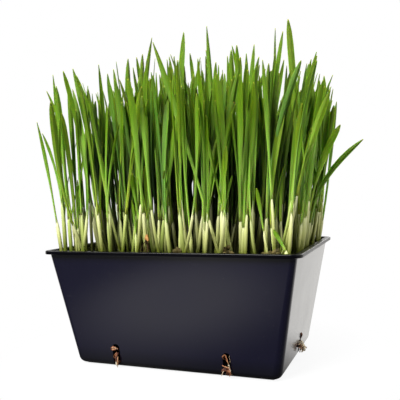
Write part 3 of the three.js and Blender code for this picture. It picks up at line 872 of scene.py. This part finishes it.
CROSSING = [
    ([(-1.9, 1.4, 12.6), (-2.2, 3.6, 14.2), (-1.7, 3.9, 15.8), (-0.6, 3.9, 16.2),
      (0.1, 3.6, 14.6), (0.9, 3, 11.4)], 0.22, 0.16, 3, 0.2),
    ([(-0.3, 2.2, 15.4), (0.4, 3.7, 15.2), (1.4, 3.9, 12.6), (2.2, 3.9, 9.6), (2.5, 3.2, 7.6)],
     0.20, 0.12, 2, 0.34),
    # This short cream strand is a painted highlight: it stands for a glint on the bundle
    ([(2.1, 4, 10.2), (2.5, 3.8, 9), (2.5, 3.4, 7.4)], 0.30, 0.05, 1, 1),
    ([(2.5, 1.6, 15.6), (2.7, 2.8, 14.6), (2.8, 2.6, 11)], 0.14, 0.05, 1, 0.75),
    ([(-2.1, 2, 8.2), (-0.5, 3.5, 8.4), (1.5, 3.6, 8), (2.7, 3, 7.4)], 0.34, 0.25, 5, 0.46),
    ([(-0.5, 1.6, 7.4), (-1.3, 3.2, 5.8), (0.3, 3.7, 6.4), (1, 3, 4.2), (0.9, 2.2, 2.6)],
     0.32, 0.36, 6, 0.14),
    ([(1.1, 1.8, 7.2), (2, 3.4, 5.4), (2.7, 2.8, 4), (2.2, 2.2, 2.2)], 0.30, 0.32, 6, 0.30),
    ([(2.7, 3, 7), (2.9, 2.9, 4.6), (3.2, 2.4, 3)], 0.22, 0.12, 2, 0.80),
    ([(-1.2, 2.4, 5.8), (-2, 3, 4.6), (-3.7, 2.8, 1.8)], 0.34, 0.08, 2, 1),
    ([(-1.3, 1.8, 7), (-2.6, 3.2, 6), (-2.9, 3, 4.8)], 0.30, 0.3, 3, 0.03),
]
TASSELLED = [
    ([(0.4, 0.4, 15.2), (0.5, 2.4, 17.4), (0.2, 3.6, 16.8), (0.3, 2.9, 15), (0.2, 1.8, 13.2)],
     0.55, 0.42, 14, 0.15),
    ([(0, 0.6, 13), (0.2, 2.4, 12.4), (0.1, 2.6, 10.6)], 0.34, 0.3, 5, 0.04),
    ([(0.3, 1.2, 11.2), (1, 3.6, 11.4), (0.7, 4.2, 9.8), (0.2, 3.9, 8.2)], 0.36, 0.5, 12, 1),
    ([(0.2, 1.6, 9.4), (0.2, 4.4, 8.6), (-0.2, 4.9, 6.6), (0.1, 3.6, 5.6)], 0.50, 0.8, 18, 0.82),
    ([(0, 1.6, 9.5), (-1.2, 3.9, 8.8), (-3.5, 3.6, 7.2), (-5.2, 2.8, 5.2)], 0.32, 0.6, 8, 0.55),
    ([(0, 1.6, 9.5), (-2.4, 3.4, 8.8), (-5.5, 2.9, 8.4), (-8, 2.4, 8.8)], 0.20, 0.35, 3, 0.2),
    ([(0.2, 1.6, 8.8), (0.8, 4, 8), (1.4, 5.2, 7.2), (2, 6.4, 6.8)], 0.32, 0.45, 8, 0.76),
    ([(0, 1.6, 8), (-0.6, 3.9, 7.2), (-1.2, 4.2, 6), (-1.6, 3.8, 5.2)], 0.38, 0.5, 8, 0.76),
]


def through(points, count):
    """Count places along a smooth line through points: on each stretch the cubic
    whose slope at a point is half the step between its two neighbours."""
    points = np.concatenate([2 * points[:1] - points[1:2], points, 2 * points[-1:] - points[-2:-1]])
    at = np.linspace(0, len(points) - 3.000001, count)
    n = at.astype(int)
    t = (at - n)[:, None]
    p0, p1, p2, p3 = points[n], points[n + 1], points[n + 2], points[n + 3]
    return p1 + 0.5 * t * (p2 - p0 + t * (2 * p0 - 5 * p1 + 4 * p2 - p3 + t * (3 * (p1 - p2) + p3 - p0)))


def root_tuft(groups, seed):
    """Every group's strands: its points, each moved at random by its spread, with
    a small helix wound round the line. Returns the tube points and their tones."""
    rng = np.random.default_rng(seed)
    lines, radii, tones = [], [], []
    for points, radius, spread, many, tone in groups:
        for _ in range(many):
            drift = rng.normal(0, spread, (len(points), 3)) * [1, 0.5, 0.8]
            line = through(np.array(points) + drift, ROOT_STATIONS)
            turn = np.linspace(0, rng.uniform(4, 11), ROOT_STATIONS) + rng.uniform(0, 6.3)
            line[:, 0] += CURL * np.cos(turn)
            line[:, 2] += CURL * np.sin(turn)
            beside = (np.abs(line[:, 0]) > SLOT_SIDE) | (line[:, 2] < SILL)
            nearest = np.where(beside, line[:, 2] * WALL_LEAN + WALL_CLEAR, SLOT_DEEP)
            line[:, 1] = -np.maximum(line[:, 1], nearest)
            line[:, 2] = np.maximum(line[:, 2], ROOT_LOWEST)
            lines.append(line)
            radii.append(radius * rng.uniform(0.7, 1.15) * np.linspace(1, 0.5, ROOT_STATIONS))
            tones.append(np.clip(tone + rng.normal(0, 0.12), 0, 1))
    return tubes(np.array(lines) * MM, np.array(radii) * MM, ROOT_SIDES), np.array(tones)


def root_skin():
    """Roots: cream where fresh, tan to orange-brown where they have dried."""
    material, tree, _ = new_material("dry_roots", Roughness=0.7)
    own = node(tree, "Attribute", attribute_name="tint_and_painted_shade")
    tone = node(tree, "SeparateColor", {"Color": own.outputs["Color"]}).outputs["Red"]
    drift = remap(tree, grain(tree, 330, detail=4, rough=0.7), 0.3, 0.7, -0.2, 0.2)
    colour = ramp(tree, reckon(tree, "ADD", tone, drift), [
        (0.0, (0.035, 0.009, 0.005)), (0.2, (0.15, 0.042, 0.016)), (0.42, (0.34, 0.13, 0.048)),
        (0.65, (0.48, 0.29, 0.155)), (0.9, (0.82, 0.73, 0.54))])
    return finished(material, colour, grain(tree, 2400, detail=3), 0.4, 0.1 * MM)


root_material = root_skin()
TUFTS = [HANGING, CROSSING, TASSELLED, TASSELLED, CROSSING, HANGING]  # in the order of SLOTS
for seed, (slot, groups) in enumerate(zip(SLOTS, TUFTS), start=40):
    strands, tones = root_tuft(groups, seed)
    mesh = closed_mesh(f"roots_{slot}_fine", at_slot(strands, slot))
    tone = np.repeat(tones, ROOT_STATIONS * ROOT_SIDES)
    set_tint(mesh, np.stack([tone, tone, tone, np.ones_like(tone)], axis=1))
    add_piece(f"root_tangle_{slot}", mesh, root_material, f"roots_{slot}")

# ---- Lifted grain --------------------------------------------
# One split husk near the front rim, orange-brown, pushed clear of the mat on its
# own dark roots.
low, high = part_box("lifted_grain")
HUSK_LENGTH, HUSK_GIRTH, HUSK_HEIGHT = 4.4 * MM, 2.2 * MM, 17.5 * MM
LEGS, LEG_RADIUS, LEG_STATIONS, LEG_SIDES = 11, 0.22 * MM, 12, 6
WALL_INSIDE = -61.8 * MM  # the legs stay on this side of the front wall
husk_foot = np.array([(low[0] + high[0]) / 2, (low[1] + high[1]) / 2, low[2]])
husk_middle = husk_foot + np.array([0, 0, HUSK_HEIGHT])
halves = np.stack([husk_middle, husk_middle + np.array([0.9, -0.5, -0.8]) * MM])
leaning = np.array([[0.45, -0.1, 0.88], [-0.5, 0.2, 0.84]])
husk = kernels(halves, leaning, HUSK_LENGTH, HUSK_GIRTH, 14, 13)
t = np.linspace(0, 1, LEG_STATIONS)[None, :, None]
leg_rng = np.random.default_rng(5)
tops = husk_middle + leg_rng.normal(0, 0.5, (LEGS, 3)) * MM - np.array([0, 0, 2]) * MM
feet = husk_foot + np.column_stack([leg_rng.normal(0, 2.1, (LEGS, 2)), np.zeros(LEGS)]) * MM
swing = np.column_stack([leg_rng.normal(0, 1.6, (LEGS, 2)), np.zeros(LEGS)]) * MM
leg_path = tops[:, None] * (1 - t) + feet[:, None] * t + swing[:, None] * np.sin(np.pi * t)
leg_path[..., 1] = np.maximum(leg_path[..., 1], WALL_INSIDE)
leg_radii = np.broadcast_to(LEG_RADIUS * (1 - 0.4 * t[..., 0]), leg_path.shape[:2])
husk_mesh = closed_mesh("lifted_grain_fine", husk, tubes(leg_path, leg_radii, LEG_SIDES))
add_piece("lifted_husk", husk_mesh,
          straw("orange_husk", (0.52, 0.27, 0.09), (0.34, 0.15, 0.035), (0.16, 0.06, 0.015)),
          "lifted_grain")
husk_mesh.materials.append(
    straw("dark_roots", (0.07, 0.038, 0.012), (0.016, 0.008, 0.003), (0.008, 0.004, 0.001)))
index = np.zeros(len(husk_mesh.polygons), np.int32)
index[sum(map(len, tube_faces(*husk.shape[:3]))):] = 1  # the legs' faces come last
husk_mesh.polygons.foreach_set("material_index", index)

# ---- Table, light and camera ---------------------------------
# A white sweep under soft studio light: a broad lamp in front and above on the
# left, a larger, weaker one behind, and a faint one at the right that fills the
# shade of the tray's end.
SCENE = bpy.context.scene
SCENE.view_settings.view_transform = "Standard"
ALL_ROUND = 0.12  # strength of the light from all round
CAMERA_WHITE, WARM_WHITE = (1, 1, 1), (1, 0.985, 0.955)


def ray_kinds(tree):
    """Whether a ray comes from the camera or off something glossy, and the white
    that each kind sees."""
    path = node(tree, "LightPath").outputs
    camera = path["Is Camera Ray"]
    return camera, path["Is Glossy Ray"], mixed(tree, camera, WARM_WHITE, CAMERA_WHITE)


# The camera sees the surroundings white. So does gloss, low behind the tray only;
# there and everywhere else they give a weak light.
world = bpy.data.worlds.new("studio")
world.use_nodes = True
SCENE.world = world
tree = world.node_tree
tree.nodes.clear()
seen, glossy, white = ray_kinds(tree)
dim = node(tree, "Background", {"Color": (1, 1, 1, 1), "Strength": ALL_ROUND})
bright = node(tree, "Background", {"Color": white, "Strength": 1.0})
looking = node(tree, "TexCoord").outputs["Generated"]
back = remap(tree, part(tree, looking, "Y"), 0.3, 0.8)
low = remap(tree, part(tree, looking, "Z"), 0.12, 0.35, 1, 0)
back = reckon(tree, "MULTIPLY", reckon(tree, "MULTIPLY", back, low), glossy)
share = reckon(tree, "MAXIMUM", back, seen)
sky = node(tree, "MixShader", {0: share, 1: dim.outputs[0], 2: bright.outputs[0]})
link(tree, sky.outputs[0], node(tree, "OutputWorld").inputs["Surface"])

# The table is white paper that keeps the object's shadow near it and is plain
# white further off. The front wall mirrors a pale patch of it, before the wall's
# left half, and what is behind the tray; the rest gives back hardly any light.
FLOOR_HALF = 6  # metres
PAPER, SPILL = (0.8, 0.8, 0.8), (0.012, 0.012, 0.012)
SHADOW_END, PLAIN_START, LEAST_GLOW = 85 * MM, 150 * MM, 0.90
PATCH_PLACE, PATCH_HEART, PATCH_END, PATCH_GLOW = (-38 * MM, -162 * MM, 0), 30 * MM, 125 * MM, 0.57
BEHIND_START, BEHIND_END = -50 * MM, 60 * MM
corners = np.array([[-1, -1, 0], [1, -1, 0], [1, 1, 0], [-1, 1, 0]]) * FLOOR_HALF
floor_mesh = fill_mesh("floor", corners, [np.array([[0, 1, 2, 3]])], smooth=False)
floor = add_object("floor", floor_mesh)
material, tree, shader = new_material("white_paper", Roughness=0.8)
seen, glossy, white = ray_kinds(tree)
link(tree, mixed(tree, seen, SPILL, PAPER), shader.inputs["Base Color"])
glow = node(tree, "Emission", {"Color": white, "Strength": 1.0})
away = node(tree, "VectorMath", {0: where(tree)}, operation="LENGTH").outputs["Value"]
plain = reckon(tree, "MULTIPLY", remap(tree, away, SHADOW_END, PLAIN_START, LEAST_GLOW, 1), seen)
patch = node(tree, "VectorMath", {0: where(tree), 1: PATCH_PLACE}, operation="DISTANCE")
patch = remap(tree, patch.outputs["Value"], PATCH_HEART, PATCH_END, PATCH_GLOW, 0, "SMOOTHSTEP")
behind = remap(tree, part(tree, where(tree), "Y"), BEHIND_START, BEHIND_END)
mirror = reckon(tree, "MULTIPLY", reckon(tree, "MAXIMUM", patch, behind), glossy)
share = reckon(tree, "MAXIMUM", plain, mirror)
paper = node(tree, "MixShader", {0: share, 1: shader.outputs[0], 2: glow.outputs[0]})
link(tree, paper.outputs[0], tree.nodes["Material Output"].inputs["Surface"])
floor_mesh.materials.append(material)


def soft_lamp(name, place, aim, size, watts):
    """A square area lamp at place that faces aim."""
    data = bpy.data.lights.new(name, "AREA")
    data.size, data.energy = size, watts
    turn = (Vector(aim) - Vector(place)).to_track_quat("-Z", "Y").to_matrix().to_4x4()
    add_object(name, data).matrix_world = Matrix.Translation(place) @ turn


soft_lamp("front_lamp", (-0.38, -1.05, 1.1), (0, 0, 0.15), 0.7, 45)
soft_lamp("right_fill", (1.2, -0.35, 0.5), (0, 0, 0.08), 0.7, 7)
soft_lamp("back_fill", (0.3, 1.2, 0.9), (0, 0, 0.12), 0.9, 20)

# The camera stands in front of the right half, at the height of the rim and a
# little above, held almost level: turned by YAW to the right of +Y, raised by
# PITCH and rolled by ROLL.
CAMERA_PLACE = np.array([154.1, -395.3, 121.9]) * MM
YAW, PITCH, ROLL = np.radians([-20.84, -0.71, -1.54])
FOCAL_LENGTH = 49.6  # mm, on a sensor 36 mm wide
camera_data = bpy.data.cameras.new("camera")
camera_data.lens = FOCAL_LENGTH
camera_data.clip_start = 0.01
camera = add_object("camera", camera_data)
camera.matrix_world = (Matrix.Translation(CAMERA_PLACE) @ Matrix.Rotation(-YAW, 4, "Z")
                       @ Matrix.Rotation(math.pi / 2 + PITCH, 4, "X") @ Matrix.Rotation(ROLL, 4, "Z"))
SCENE.camera = camera
